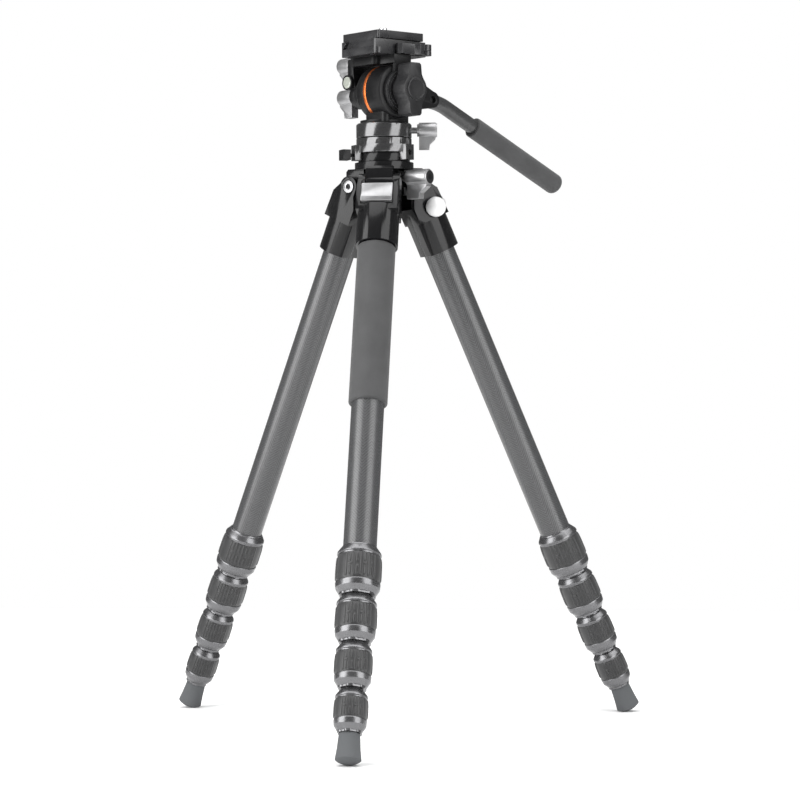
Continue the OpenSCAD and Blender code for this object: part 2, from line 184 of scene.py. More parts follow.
def rounded_profile(profile, radius, steps=3):
    """A polyline (r, z) with each inner corner cut by a quadratic curve of about that radius."""
    out = [profile[0]]
    for before, here, after in zip(profile[:-2], profile[1:-1], profile[2:]):
        reach_in = min(radius, 0.45 * math.dist(before, here))
        reach_out = min(radius, 0.45 * math.dist(here, after))
        start = np.array(here) + unit(np.subtract(before, here)) * reach_in
        end = np.array(here) + unit(np.subtract(after, here)) * reach_out
        for t in np.linspace(0, 1, steps + 1):
            out.append(tuple((1 - t) ** 2 * start + 2 * t * (1 - t) * np.array(here) + t**2 * end))
    out.append(profile[-1])
    return out


def lathe(name, line, profile, columns=96, closed=True, sharp=40.0):
    """A surface of revolution about a line: P(a, k) = (r_k cos a, r_k sin a, z_k)."""
    profile = np.array(profile, float)
    angle = np.linspace(0, 2 * np.pi, columns, endpoint=False)
    r, z = profile[:, 0][:, None], profile[:, 1][:, None]
    points = line.out(r * np.cos(angle), r * np.sin(angle), z + 0 * angle)
    length = np.linalg.norm(np.diff(profile, axis=0), axis=1).sum()
    mesh = mesh_from_grid(name, points, closed, (2 * np.pi * profile[:, 0].max(), length))
    finish_mesh(mesh, sharp)
    return mesh


def sweep(name, path, radius, across, columns=40):
    """A round bar along a path, closed at both ends: each point carries a ring across the path."""
    path = np.asarray(path, float)
    ahead = np.gradient(path, axis=0)
    ahead /= np.linalg.norm(ahead, axis=1)[:, None]
    side = np.cross(ahead, across)
    side /= np.linalg.norm(side, axis=1)[:, None]
    up = np.cross(side, ahead)
    angle = np.linspace(0, 2 * np.pi, columns, endpoint=False)
    size = np.full(len(path), radius)
    size[[0, -1]] = 0.0
    ring = np.cos(angle)[None, :, None] * side[:, None] + np.sin(angle)[None, :, None] * up[:, None]
    points = path[:, None] + size[:, None, None] * ring
    mesh = mesh_from_grid(name, points, False, (2 * np.pi * radius, len(path) * radius))
    finish_mesh(mesh)
    return mesh


def softened(name, node, width, segments=2):
    """A merged copy of a CAD node, its flat faces joined, handed back with the width and segments
    for a bevel on its edges.
    """
    mesh = NODES[node].data.copy()
    mesh.name = name
    work = bmesh.new()
    work.from_mesh(mesh)
    bmesh.ops.remove_doubles(work, verts=work.verts, dist=1e-6)
    bmesh.ops.dissolve_limit(
        work, angle_limit=math.radians(0.5), verts=work.verts, edges=work.edges
    )
    work.to_mesh(mesh)
    work.free()
    mesh.shade_smooth()
    return mesh, width, segments


def add_softened(node, body, material, width=0.35, segments=2):
    """A bevelled copy of a CAD node as the piece that stands for it."""
    mesh, width, segments = softened(f"{node}_shell", node, width * MM, segments)
    piece = add_piece(f"{node}_shell", mesh, body, material, [node])
    bevel = piece.modifiers.new("edges", "BEVEL")
    bevel.width = width
    bevel.segments = segments
    bevel.limit_method = "ANGLE"
    bevel.angle_limit = math.radians(32)
    bevel.harden_normals = True
    return piece


# --- Materials ---------------------------------------------------------------------------------


def new_material(name, colour, metallic, roughness, coat=0.0, coat_roughness=0.1):
    """A material with its constants on the shader's own sockets."""
    material = bpy.data.materials.new(name)
    material.use_nodes = True
    shader = material.node_tree.nodes["Principled BSDF"]
    shader.inputs["Base Color"].default_value = (*colour, 1.0)
    shader.inputs["Metallic"].default_value = metallic
    shader.inputs["Roughness"].default_value = roughness
    shader.inputs["Coat Weight"].default_value = coat
    shader.inputs["Coat Roughness"].default_value = coat_roughness
    return material, material.node_tree, shader


def noise(tree, scale, detail=3.0, stretch=(1.0, 1.0, 1.0)):
    """Noise on Object coordinates; scale is in features per metre."""
    place = tree.nodes.new("ShaderNodeTexCoord")
    mapping = tree.nodes.new("ShaderNodeMapping")
    mapping.inputs["Scale"].default_value = stretch
    texture = tree.nodes.new("ShaderNodeTexNoise")
    texture.inputs["Scale"].default_value = scale
    texture.inputs["Detail"].default_value = detail
    tree.links.new(place.outputs["Object"], mapping.inputs["Vector"])
    tree.links.new(mapping.outputs["Vector"], texture.inputs["Vector"])
    return texture.outputs["Fac"]


def ramp(tree, value, low, high, start=0.3, end=0.7):
    """A two-colour ramp over a value."""
    node = tree.nodes.new("ShaderNodeValToRGB")
    node.color_ramp.elements[0].position = start
    node.color_ramp.elements[0].color = (*low, 1.0)
    node.color_ramp.elements[1].position = end
    node.color_ramp.elements[1].color = (*high, 1.0)
    tree.links.new(value, node.inputs["Fac"])
    return node.outputs["Color"]


def bump(tree, shader, height, distance, strength=1.0):
    """A bump of that height in metres on the shader's normal."""
    node = tree.nodes.new("ShaderNodeBump")
    node.inputs["Strength"].default_value = strength
    node.inputs["Distance"].default_value = distance
    tree.links.new(height, node.inputs["Height"])
    tree.links.new(node.outputs["Normal"], shader.inputs["Normal"])


def math_node(tree, kind, first, second=None):
    """One Math node on a socket, and on a number or a second socket."""
    node = tree.nodes.new("ShaderNodeMath")
    node.operation = kind
    for slot, value in zip(node.inputs, (first, second)):
        if isinstance(value, (int, float)):
            slot.default_value = value
        elif value is not None:
            tree.links.new(value, slot)
    return node.outputs["Value"]


def scaled(colour, factor):
    """A colour made lighter or darker."""
    return tuple(min(1.0, c * factor) for c in colour)


def carbon_material(settings):
    """Herringbone of fibre bands under satin lacquer, on the tube's own UV map in metres."""
    base = settings.carbon_colour
    material, tree, shader = new_material("carbon_twill", base, 0.0, 0.34, 0.35, 0.22)
    uv = tree.nodes.new("ShaderNodeUVMap")
    uv.uv_map = "UVMap"
    split = tree.nodes.new("ShaderNodeSeparateXYZ")
    tree.links.new(uv.outputs["UV"], split.inputs["Vector"])
    turn = 2 * math.pi / settings.weave_pitch
    zigzag = math_node(tree, "PINGPONG", split.outputs["X"], settings.weave_column)
    slant = math_node(tree, "ADD", split.outputs["Y"], zigzag)
    wave = math_node(tree, "SINE", math_node(tree, "MULTIPLY", slant, turn))
    fibres = noise(tree, 900.0, 2.0, (1.0, 1.0, 0.35))
    cells = math_node(tree, "MULTIPLY_ADD", wave, 0.34)
    tree.links.new(fibres, cells.node.inputs[2])
    colour = ramp(tree, cells, scaled(base, 0.5), scaled(base, 1.7), 0.2, 0.8)
    tree.links.new(colour, shader.inputs["Base Color"])
    rough = ramp(tree, cells, (0.4,) * 3, (0.27,) * 3, 0.2, 0.8)
    tree.links.new(rough, shader.inputs["Roughness"])
    bump(tree, shader, cells, 0.00008, 0.6)
    return material


def casting_material(name, colour, roughness, coat, grain=0.00002, gloss=0.5):
    """Lacquered or anodised metal: a faint orange peel, and a little unevenness in its gloss."""
    material, tree, shader = new_material(name, colour, 0.0, roughness, coat, 0.08)
    shader.inputs["Specular IOR Level"].default_value = gloss
    uneven = noise(tree, 90.0)
    rough = ramp(tree, uneven, (roughness * 0.8,) * 3, (roughness * 1.3,) * 3)
    tree.links.new(rough, shader.inputs["Roughness"])
    bump(tree, shader, noise(tree, 2200.0, 2.0), grain, 0.35)
    return material


def metal_material(name, colour, roughness, grain_scale=1400.0):
    """Bead-blasted or turned metal with fine grain and slight colour change."""
    material, tree, shader = new_material(name, colour, 0.85, roughness)
    grain = noise(tree, grain_scale, 4.0)
    tint = ramp(tree, grain, scaled(colour, 0.88), scaled(colour, 1.08))
    tree.links.new(tint, shader.inputs["Base Color"])
    rough = ramp(tree, noise(tree, 160.0), (roughness * 0.85,) * 3, (roughness * 1.2,) * 3)
    tree.links.new(rough, shader.inputs["Roughness"])
    bump(tree, shader, grain, 0.00001, 0.3)
    return material


def rubber_material(name, colour, roughness, grain_scale, depth):
    """Matte rubber or foam: fine pores in the bump and a soft change of shade."""
    material, tree, shader = new_material(name, colour, 0.0, roughness)
    shader.inputs["Sheen Weight"].default_value = 0.15
    shader.inputs["Sheen Roughness"].default_value = 0.5
    pores = noise(tree, grain_scale, 4.0)
    shade = ramp(tree, noise(tree, 60.0), scaled(colour, 0.86), scaled(colour, 1.14))
    tree.links.new(shade, shader.inputs["Base Color"])
    rough = ramp(tree, pores, (roughness * 0.9,) * 3, (min(1.0, roughness * 1.15),) * 3)
    tree.links.new(rough, shader.inputs["Roughness"])
    bump(tree, shader, pores, depth, 0.6)
    return material


def vial_material(settings):
    """Clear pale plastic of the bubble level."""
    material, tree, shader = new_material(
        "vial_plastic", settings.vial_colour, 0.0, 0.08, 0.6, 0.03
    )
    shader.inputs["Transmission Weight"].default_value = 0.25
    glow = ramp(tree, noise(tree, 300.0), settings.vial_colour, scaled(settings.vial_colour, 1.15))
    tree.links.new(glow, shader.inputs["Base Color"])
    return material


def finish(name):
    """The finish of that name, made the first time it is asked for."""
    settings = bpy.context.scene.tripod_settings
    if name in bpy.data.materials:
        return bpy.data.materials[name]
    black = tuple(settings.casting_colour)
    makers = {
        "carbon_twill": lambda: carbon_material(settings),
        "gloss_casting": lambda: casting_material(
            "gloss_casting", black, 0.17, 0.08, 0.00001, 0.24
        ),
        "turned_black": lambda: metal_material("turned_black", (0.13, 0.13, 0.132), 0.17),
        "satin_black": lambda: casting_material("satin_black", black, 0.38, 0.0, 0.00005, 0.22),
        "gunmetal": lambda: metal_material("gunmetal", tuple(settings.gunmetal_colour), 0.27),
        "silver_satin": lambda: metal_material("silver_satin", tuple(settings.silver_colour), 0.36),
        # ball: its white base colour is a painted reflection of the white softbox in a polished
        # metal cap
        "ball_white_painted_reflection": lambda: casting_material("ball_white_painted_reflection", (0.8, 0.8, 0.8), 0.12, 0.3, 0.0),
        "polished_steel": lambda: metal_material("polished_steel", (0.86, 0.86, 0.87), 0.07),
        "orange_anodised": lambda: metal_material(
            "orange_anodised", tuple(settings.accent_colour), 0.32
        ),
        "sleeve_rubber": lambda: rubber_material(
            "sleeve_rubber", tuple(settings.rubber_colour), 0.42, 1600.0, 0.00002
        ),
        "foot_rubber": lambda: rubber_material(
            "foot_rubber", scaled(settings.rubber_colour, 1.4), 0.3, 1200.0, 0.00001
        ),
        "grip_foam": lambda: rubber_material(
            "grip_foam", tuple(settings.foam_colour), 0.72, 2600.0, 0.00006
        ),
        "plate_satin": lambda: casting_material(
            "plate_satin", scaled(black, 2.6), 0.3, 0.1, 0.00002, 0.5
        ),
        "knob_black": lambda: casting_material(
            "knob_black", scaled(black, 1.8), 0.34, 0.0, 0.00004, 0.4
        ),
        "bar_satin": lambda: casting_material(
            "bar_satin", tuple(settings.bar_colour), 0.3, 0.1, 0.00001
        ),
        "vial_plastic": lambda: vial_material(settings),
        "pale_floor": lambda: rubber_material("pale_floor", (0.93, 0.93, 0.93), 0.9, 30.0, 0.0),
    }
    return makers[name]()


# --- Pieces ------------------------------------------------------------------------------------


def body_of_section(leg, section):
    """The CAD body that carries a tube."""
    return f"{leg}_leg" if section == 1 else f"{leg}_section_{section}"


def make_tube(leg, section):
    """A hollow tube: outer wall, rounded rim, inner wall and rim, as one closed lathe."""
    node = f"{leg}_tube_{section}"
    line = leg_line(leg)
    top, bottom, outer = line.span(node)
    inner = outer - 1.2 * MM
    rim = 0.25 * MM
    profile = [
        (inner, top),
        (outer - rim, top),
        (outer, top + rim),
        *[(outer, z) for z in np.linspace(top + 2 * MM, bottom - 2 * MM, 60)],
        (outer, bottom - rim),
        (outer - rim, bottom),
        (inner, bottom),
    ]
    mesh = lathe(f"{node}_carbon", line, profile, columns=96)
    add_piece(
        f"{node}_carbon",
        mesh,
        body_of_section(leg, section),
        finish("carbon_twill"),
        [node],
    )


def lock_measures(leg, number):
    """The top, bottom and radius of a twist lock, and the tube radii above and below it."""
    line = leg_line(leg)
    top, bottom, radius = line.span(f"{leg}_lock_{number}")
    above = line.span(f"{leg}_tube_{number}")[2]
    below = line.span(f"{leg}_tube_{number + 1}")[2]
    return line, top, bottom, radius, above, below


def make_lock_barrel(leg, number):
    """The metal barrel: a bevelled ring above and below a waist that the sleeve fills."""
    line, top, bottom, r, above, below = lock_measures(leg, number)
    bore, exit_bore = above + 0.12 * MM, below + 0.36 * MM
    waist = r - 1.6 * MM
    outline = [
        (bore, top),
        (bore + 0.5 * MM, top),
        (bore + 0.9 * MM, top + 1.2 * MM),
        (bore + 1.5 * MM, top + 1.5 * MM),
        (r - 1.0 * MM, top + 5.0 * MM),
        (r - 0.7 * MM, top + 6.6 * MM),
        (waist, top + 6.8 * MM),
        (waist, bottom - 9.6 * MM),
        (r - 0.7 * MM, bottom - 9.4 * MM),
        (r - 0.5 * MM, bottom - 8.6 * MM),
        (r - 0.9 * MM, bottom - 4.6 * MM),
        (r - 3.4 * MM, bottom - 0.7 * MM),
        (r - 4.2 * MM, bottom),
        (exit_bore, bottom),
    ]
    mesh = lathe(f"{leg}_lock_{number}_barrel", line, rounded_profile(outline, 0.35 * MM))
    add_piece(
        mesh.name,
        mesh,
        f"{leg}_twist_{number}",
        finish("gunmetal"),
        [f"{leg}_lock_{number}"],
    )


def rib_pattern(angle, v, count):
    """Height from 0 to 1 of the moulded grip, over angle and v from 0 at the top to 1.

    Narrow upright ribs stand in groups with a plain pad between them. Every other rib is broken
    at mid height, and short bars join the neighbours there.
    """
    phase = angle * count / (2 * np.pi)
    cell = phase - np.floor(phase)
    index = np.floor(phase).astype(int)
    width = np.clip(1 - np.abs(cell - 0.5) / 0.27, 0, 1)
    rib = np.clip(width * 2.4, 0, 1)
    long_rib = np.clip(np.minimum(v - 0.06, 0.94 - v) * 24, 0, 1)
    broken = np.clip(np.minimum(v - 0.12, 0.9 - v) * 24, 0, 1)
    broken = broken * np.clip((np.abs(v - 0.5) - 0.06) * 24, 0, 1)
    height = rib * np.where(index % 2 == 0, long_rib, broken)
    bar = np.clip((0.05 - np.abs(v - 0.5)) * 40, 0, 1) * (index % 4 == 1)
    height = np.maximum(height, bar * 0.9)
    pad = np.clip((np.cos(3 * angle + 0.6) + 0.72) * 6, 0, 1)
    return height * pad


def make_lock_sleeve(leg, number):
    """The ribbed rubber sleeve: r(a, v) = a barrel curve plus the rib pattern, closed inside."""
    line, top, bottom, r, _, _ = lock_measures(leg, number)
    settings = bpy.context.scene.tripod_settings
    start, end = top + 6.4 * MM, bottom - 9.2 * MM
    columns = 8 * settings.rib_count
    v = np.linspace(0, 1, 45)[:, None]
    angle = np.linspace(0, 2 * np.pi, columns, endpoint=False)[None, :]
    crown = r - 0.55 * MM - 1.0 * MM * (2 * v - 1.1) ** 4 - 0.25 * MM * (1 - v)
    radius = crown + 0.6 * MM * rib_pattern(angle, v, settings.rib_count)
    edge = r - 1.75 * MM
    rows = np.vstack(
        [
            np.full((1, columns), edge),
            radius,
            np.full((1, columns), edge),
        ]
    )
    z = np.concatenate([[start], start + v[:, 0] * (end - start), [end]])[:, None]
    points = line.out(rows * np.cos(angle), rows * np.sin(angle), z + 0 * angle)
    name = f"{leg}_lock_{number}_sleeve"
    mesh = mesh_from_grid(name, points, True, (2 * np.pi * r, end - start))
    finish_mesh(mesh, 50.0)
    body = f"{leg}_twist_{number}"
    piece = add_piece(name, mesh, body, finish("sleeve_rubber"))
    return piece


def make_neck_ring(leg, number):
    """The anti-twist bush in a lock's mouth: a dark ring with bright keys around the tube."""
    line, _, bottom, r, _, below = lock_measures(leg, number)
    keys = 6
    v = np.linspace(0, 1, 5)[:, None]
    angle = np.linspace(0, 2 * np.pi, 128, endpoint=False)[None, :]
    wave = np.clip(np.cos(keys * angle) * 3, -1, 1)
    outer = r - 4.0 * MM + 0.35 * MM * wave * np.ones_like(v)
    inner = below + 0.15 * MM
    rows = np.vstack([np.full((1, 128), inner), outer, np.full((1, 128), inner)])
    z_low, z_high = bottom - 0.4 * MM, bottom + 1.2 * MM
    z = np.concatenate([[z_low], z_low + v[:, 0] * (z_high - z_low), [z_high]])[:, None]
    points = line.out(rows * np.cos(angle), rows * np.sin(angle), z + 0 * angle)
    name = f"{leg}_lock_{number}_bush"
    mesh = mesh_from_grid(name, points, True, (0.05, 0.002))
    finish_mesh(mesh, 35.0)
    add_piece(name, mesh, f"{leg}_twist_{number}", finish("gunmetal"))


def make_foot(leg):
    """A flared rubber foot with a domed tread: one lathe from the tube's end to the dome's tip."""
    node = f"{leg}_foot"
    line = leg_line(leg)
    top, bottom, _ = line.span(node)
    dome = 16 * MM
    rim = 10.0 * MM
    drop = dome - math.sqrt(dome**2 - rim**2)
    outline = [
        (0.0, top),
        (7.3 * MM, top),
        (8.1 * MM, top + 0.8 * MM),
        (8.3 * MM, top + 3 * MM),
        (9.0 * MM, top + 12 * MM),
        (rim, bottom - drop - 0.4 * MM),
    ]
    arc = [
        (dome * math.sin(a), bottom - dome + dome * math.cos(a))
        for a in np.linspace(math.asin(rim / dome), 0, 9)
    ]
    mesh = lathe(f"{node}_rubber", line, densify(outline, 2 * MM) + arc, closed=False)
    body = body_of_section(leg, 5)
    add_piece(mesh.name, mesh, body, finish("foot_rubber"), [node])


def add_disc(name, seat, radius, depth, body, material):
    """A small disc with a rounded rim, its back on the seat's origin; sizes in millimetres."""
    rim = min(0.3, depth / 2)
    outline = [
        (0.0, 0.0), (radius, 0.0), (radius, depth - rim), (radius - rim, depth), (0.0, depth),
    ]
    mesh = lathe(name, seat, [(a * MM, b * MM) for a, b in outline], columns=48, closed=False)
    add_piece(name, mesh, body, material)


def centre_line(joint, distance):
    """A seat on a joint's axis, that many millimetres out from the joint's own point."""
    axis = unit(np.array(JOINTS[joint]["axis"]))
    up = np.array([0.0, 0.0, 1.0])
    return Line(np.array(JOINTS[joint]["pos_m"]) + distance * MM * axis, axis, up)


def make_grip_sleeve():
    """The foam sleeve: a tube with rolled ends."""
    line = leg_line("front")
    top, bottom, r = line.span("grip_sleeve")
    bore = line.span("front_tube_1")[2] + 0.05 * MM
    v = np.linspace(0, 1, 80)
    side = [(r - 0.1 * MM, top + 1.6 * MM + t * (bottom - top - 3.2 * MM)) for t in v]
    roll_in = [(r - 1.5 * MM + 1.4 * MM * math.sin(a), top + 1.5 * MM * (1 - math.cos(a)))
               for a in np.linspace(0, math.pi / 2, 6)]
    roll_out = [(x, top + bottom - z) for x, z in reversed(roll_in)]
    profile = [(bore, top), *roll_in, *side, *roll_out, (bore, bottom)]
    mesh = lathe("grip_sleeve_foam", line, profile, columns=112)
    add_piece(mesh.name, mesh, "front_leg", finish("grip_foam"), ["grip_sleeve"])


def make_ball():
    """The ball: a full sphere, seated in the ear's outer side; its white is a painted reflection of
    the softbox in a polished metal cap.
    """
    co = vertices_of("ball_cap")
    centre, radius = (co.min(0) + co.max(0)) / 2, 8.4 * MM
    seat = Line(centre, leg_line("right").y, leg_line("right").z)
    profile = [(radius * math.sin(b), radius * math.cos(b)) for b in np.linspace(0, math.pi, 48)]
    mesh = lathe("ball_cap_painted_reflection", seat, profile, columns=80, closed=False)
    add_piece(mesh.name, mesh, "right_leg", finish("ball_white_painted_reflection"), ["ball_cap"])


def make_pan_bar():
    """The bar's centre line: its pivot, a level run, an arc down and a straight run to the grip."""
    head = head_line()
    box_bar = vertices_of("pan_bar") - head.origin
    box_grip = vertices_of("pan_bar_grip") - head.origin
    up = np.array([0.0, 0.0, 1.0])
    back = unit(np.cross(up, head.z))
    x = np.median(box_grip @ head.z)
    pivot = np.array(JOINTS["handle_angle"]["pos_m"]) - head.origin
    y0, z0 = pivot @ back, pivot @ up
    bend, radius = math.radians(25), 50 * MM
    level = 1.6 * MM
    ends = box_bar[:, :] @ back
    angle = np.linspace(0, bend, 24)
    arc_y = y0 + level + radius * np.sin(angle)
    arc_z = z0 - radius * (1 - np.cos(angle))
    run = (ends.max() - arc_y[-1]) / math.cos(bend) - 3 * MM
    t = np.linspace(0, run, 30)[1:]
    y = np.concatenate([[y0, y0 + 0.01 * MM], arc_y, arc_y[-1] + t * math.cos(bend)])
    z = np.concatenate([[z0, z0], arc_z, arc_z[-1] - t * math.sin(bend)])
    y, z = np.append(y, y[-1] + 0.01 * MM), np.append(z, z[-1])
    path = head.origin + x * head.z + y[:, None] * back + z[:, None] * up
    mesh = sweep("pan_bar_tube", path, 6.25 * MM, head.z)
    add_piece(mesh.name, mesh, "handle", finish("bar_satin"), ["pan_bar"])
    boss_line = Line(head.origin + y0 * back + z0 * up, head.z, back)
    low, high = (box_bar @ head.z).min(), 20.65 * MM
    boss = [
        (0.0, low), (5.4 * MM, low), (6.3 * MM, low + 0.4 * MM), (6.7 * MM, low + 1.2 * MM),
        (6.7 * MM, high - 0.6 * MM), (6.2 * MM, high), (0.0, high),
    ]
    mesh = lathe("pan_bar_boss", boss_line, boss, columns=64, closed=False)
    add_piece(mesh.name, mesh, "handle", finish("bar_satin"))
    end = np.array([arc_y[-1], arc_z[-1]])
    ahead = np.array([math.cos(bend), -math.sin(bend)])
    flat = np.stack([box_grip @ back, box_grip @ up], axis=1)
    along = (flat - end) @ ahead
    origin = head.origin + x * head.z + end[0] * back + end[1] * up
    grip_line = Line(origin, ahead[0] * back + ahead[1] * up, head.z)
    start, stop, r = along.min(), along.max(), 8.9 * MM
    nose = 5.4 * MM
    profile = [(6.3 * MM, start), (r - 1.6 * MM, start)]
    profile += [(r - 1.6 * MM + 1.5 * MM * math.sin(a), start + 1.5 * MM * (1 - math.cos(a)))
                for a in np.linspace(0.2, math.pi / 2, 6)]
    profile += [(r - 0.1 * MM, z) for z in np.linspace(start + 2 * MM, stop - nose, 60)]
    profile += [((r - 0.1 * MM) * math.cos(a) ** 0.7, stop - nose + nose * math.sin(a))
                for a in np.linspace(0.1, math.pi / 2 - 0.02, 10)]
    profile += [(0.0, stop)]
    profile = [(0.0, start + 0.4 * MM), (6.3 * MM, start + 0.4 * MM)] + profile
    mesh = lathe("pan_bar_grip_foam", grip_line, profile, columns=80, closed=False)
    add_piece(mesh.name, mesh, "handle", finish("grip_foam"), ["pan_bar_grip"])


# --- Settings and operators --------------------------------------------------------------------


class TripodSettings(bpy.types.PropertyGroup):
    """Sizes and colours that a user may change."""

    weave_pitch: FloatProperty(
        name="Weave pitch",
        description="Spacing of the carbon bands along the tube",
        default=0.0024,
        min=0.001,
        max=0.02,
        unit="LENGTH",
    )
    weave_column: FloatProperty(
        name="Weave column",
        description="Width of one column of the herringbone",
        default=0.0068,
        min=0.002,
        max=0.02,
        unit="LENGTH",
    )
    rib_count: IntProperty(
        name="Ribs", description="Ribs around a twist lock", default=36, min=12, max=60
    )
    carbon_colour: FloatVectorProperty(
        name="Carbon", description="Mean shade of the tubes", default=(0.045, 0.0455, 0.047),
        size=3, min=0, max=1, subtype="COLOR",
    )
    casting_colour: FloatVectorProperty(
        name="Castings", description="Black of the castings", default=(0.008, 0.008, 0.0085),
        size=3, min=0, max=1, subtype="COLOR",
    )
    rubber_colour: FloatVectorProperty(
        name="Lock rubber", description="Shade of the ribbed sleeves",
        default=(0.019, 0.0192, 0.0198), size=3, min=0, max=1, subtype="COLOR",
    )
    foam_colour: FloatVectorProperty(
        name="Foam", description="Shade of the two foam grips", default=(0.042, 0.0424, 0.0434),
        size=3, min=0, max=1, subtype="COLOR",
    )
    silver_colour: FloatVectorProperty(
        name="Silver", description="Shade of the knobs and angle tabs", default=(0.36, 0.36, 0.365),
        size=3, min=0, max=1, subtype="COLOR",
    )
    gunmetal_colour: FloatVectorProperty(
        name="Gunmetal", description="Shade of the lock rings", default=(0.16, 0.16, 0.165),
        size=3, min=0, max=1, subtype="COLOR",
    )
    accent_colour: FloatVectorProperty(
        name="Accent", description="Anodised ring on the drum", default=(0.8, 0.2, 0.05),
        size=3, min=0, max=1, subtype="COLOR",
    )
    bar_colour: FloatVectorProperty(
        name="Pan bar", description="Shade of the bar", default=(0.035, 0.0353, 0.036),
        size=3, min=0, max=1, subtype="COLOR",
    )
    vial_colour: FloatVectorProperty(
        name="Vial", description="Shade of the bubble level", default=(0.42, 0.44, 0.39),
        size=3, min=0, max=1, subtype="COLOR",
    )


class TRIPOD_OT_tubes(bpy.types.Operator):
    """Make the fifteen carbon tubes"""

    bl_idname = "tripod.tubes"
    bl_label = "Carbon tubes"

    def execute(self, context):
        for leg in LEGS:
            for section in SECTIONS:
                make_tube(leg, section)
        return {"FINISHED"}


class TRIPOD_OT_locks(bpy.types.Operator):
    """Make the twelve twist locks"""

    bl_idname = "tripod.locks"
    bl_label = "Twist locks"

    def execute(self, context):
        for leg in LEGS:
            for number in LOCKS:
                make_lock_barrel(leg, number)
                make_lock_sleeve(leg, number)
                make_neck_ring(leg, number)
        return {"FINISHED"}


class TRIPOD_OT_feet(bpy.types.Operator):
    """Make the three rubber feet"""

    bl_idname = "tripod.feet"
    bl_label = "Feet"

    def execute(self, context):
        for leg in LEGS:
            make_foot(leg)
        return {"FINISHED"}


class TRIPOD_OT_shoulders(bpy.types.Operator):
    """Make the shoulders, angle tabs, hinge bolts, leg grip and ball"""

    bl_idname = "tripod.shoulders"
    bl_label = "Shoulders"

    def execute(self, context):
        for leg in LEGS:
            body = f"{leg}_leg"
            add_softened(f"{leg}_shoulder", body, finish("gloss_casting"), 0.6, 3)
            tab_body = f"{leg}_tab"
            add_softened(f"{leg}_angle_tab", tab_body, finish("silver_satin"), 0.5, 3)
        add_softened("leg_pivot_bolts", "crown", finish("silver_satin"), 0.25)
        # A black disc on each bolt end stands in for its hex socket: painted shade of the hole.
        bolt_end, socket_radius, socket_depth = 15.4, 2.3, 0.5
        for leg in LEGS:
            line = leg_line(leg)
            for letter, side in (("a", -1), ("b", 1)):
                seat = Line(line.origin + side * bolt_end * MM * line.y, side * line.y, line.x)
                add_disc(f"{leg}_bolt_socket_{letter}", seat, socket_radius, socket_depth,
                         "crown", finish("satin_black"))
        make_grip_sleeve()
        make_ball()
        return {"FINISHED"}


class TRIPOD_OT_base(bpy.types.Operator):
    """Make the spider, column, base ring, latch and pan base"""

    bl_idname = "tripod.base"
    bl_label = "Base"

    def execute(self, context):
        add_softened("spider", "crown", finish("gloss_casting"), 0.5, 3)
        add_softened("column", "column", finish("gloss_casting"), 0.3)
        add_softened("base_ring", "column", finish("turned_black"), 0.4)
        add_softened("base_latch", "latch", finish("satin_black"), 0.4)
        add_softened("pan_base", "column", finish("turned_black"), 0.4)
        return {"FINISHED"}


class TRIPOD_OT_head(bpy.types.Operator):
    """Make the fluid head, its bracket, axle, accent ring and bubble level"""

    bl_idname = "tripod.head"
    bl_label = "Fluid head"

    def execute(self, context):
        add_softened("head_body", "head", finish("satin_black"), 0.5, 3)
        add_softened("accent_ring", "head", finish("orange_anodised"), 0.3)
        add_softened("tilt_bracket", "tilt", finish("satin_black"), 0.4)
        add_softened("tilt_axle", "tilt", finish("silver_satin"), 0.3)
        add_softened("bubble_level", "tilt", finish("vial_plastic"), 0.3)
        head = head_line()
        tilt_at = np.array(JOINTS["tilt"]["pos_m"])
        arm_face, width, sunk, proud = 24.5, 0.55, -0.1, 0.15
        seat = Line(tilt_at + arm_face * MM * head.z, head.z, head.x)
        for radius, name in ((16.6, "outer"), (14.2, "inner")):
            ring = [
                (radius - width, sunk), (radius, sunk), (radius, proud), (radius - width, proud),
            ]
            mesh = lathe(f"drag_ring_{name}", seat, [(a * MM, b * MM) for a, b in ring])
            add_piece(mesh.name, mesh, "tilt", finish("gunmetal"))
        return {"FINISHED"}


class TRIPOD_OT_knobs(bpy.types.Operator):
    """Make the four lock knobs and the drag knob"""

    bl_idname = "tripod.knobs"
    bl_label = "Knobs"

    def execute(self, context):
        silver = {
            "column_lock_knob": "column_knob",
            "pan_lock_knob": "pan_knob",
            "tilt_lock_knob": "tilt_knob",
            "plate_lock_knob": "plate_knob",
        }
        for node, body in silver.items():
            add_softened(node, body, finish("silver_satin"), 0.9, 4)
        add_softened("drag_knob", "drag", finish("knob_black"), 0.9, 4)
        knob_face, cap_depth, screw_depth = 45.4, 0.35, 0.15
        cap = centre_line("column_knob_turn", knob_face)
        add_disc("column_lock_knob_cap", cap, 5.4, cap_depth, "column_knob",
                 finish("knob_black"))
        screw = centre_line("column_knob_turn", knob_face + cap_depth)
        add_disc("column_lock_knob_screw", screw, 2.4, screw_depth, "column_knob",
                 finish("satin_black"))
        return {"FINISHED"}


class TRIPOD_OT_plate(bpy.types.Operator):
    """Make the clamp, its lever, the camera plate and the camera screw"""

    bl_idname = "tripod.plate"
    bl_label = "Quick-release plate"

    def execute(self, context):
        add_softened("plate_clamp", "tilt", finish("plate_satin"), 0.6, 3)
        add_softened("clamp_lever", "lever", finish("plate_satin"), 0.7, 3)
        add_softened("camera_plate", "plate", finish("plate_satin"), 0.5, 3)
        add_softened("camera_screw", "screw", finish("polished_steel"), 0.2)
        return {"FINISHED"}


class TRIPOD_OT_pan_bar(bpy.types.Operator):
    """Make the pan bar and its foam grip"""

    bl_idname = "tripod.pan_bar"
    bl_label = "Pan bar"

    def execute(self, context):
        make_pan_bar()
        return {"FINISHED"}


